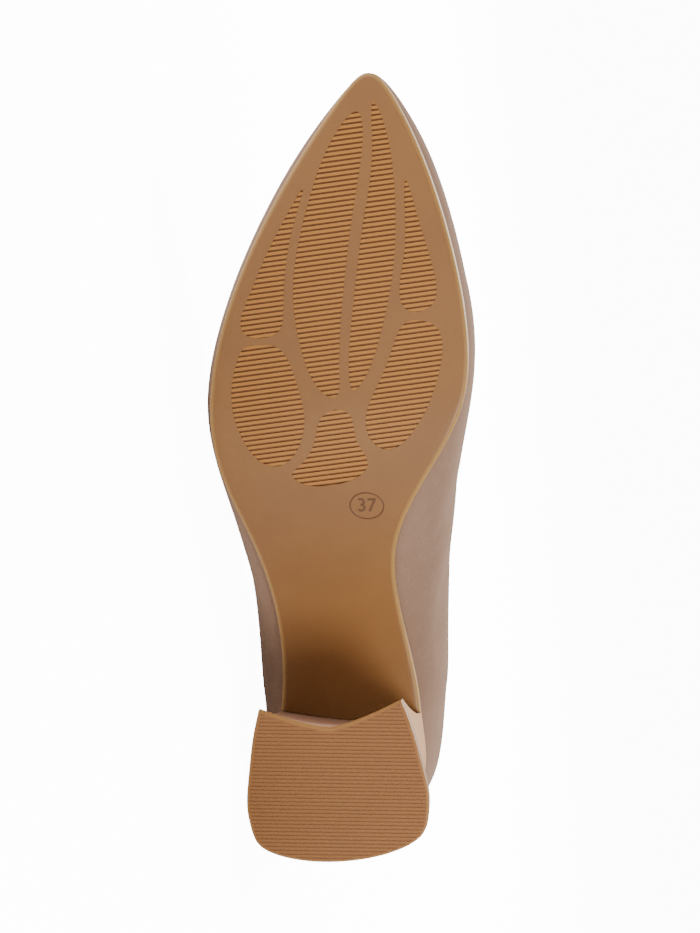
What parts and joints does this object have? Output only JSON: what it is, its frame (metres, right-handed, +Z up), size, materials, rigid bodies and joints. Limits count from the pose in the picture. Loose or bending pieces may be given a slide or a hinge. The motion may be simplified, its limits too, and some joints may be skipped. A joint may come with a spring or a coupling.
{
  "type": "pointed toe block heel pump",
  "caption": "Right-foot suede court shoe with a pointed toe, a low-cut topline, a grooved rubber sole and a flared block heel, lying on its outer side.",
  "frame": {"origin": "on the floor, under the middle of the shoe's box", "axes": "-X to the toe and +X to the heel, +Y away from the sole towards the opening, +Z up, which is the shoe's inner side as it lies on its outer side"},
  "size_m": [0.2456, 0.1108, 0.0872],
  "materials": {
    "sole_rubber": "satin moulded gum rubber",
    "lift_rubber": "matte moulded gum rubber",
    "heel_suede": "suede nap",
    "upper_suede": "suede nap",
    "sock_leather": "smooth lining leather"
  },
  "bodies": {
    "root": {"outsole": "sole_rubber", "top_lift": "lift_rubber", "heel_block": "heel_suede", "upper": "upper_suede", "insole": "sock_leather"}
  },
  "joints": []
}
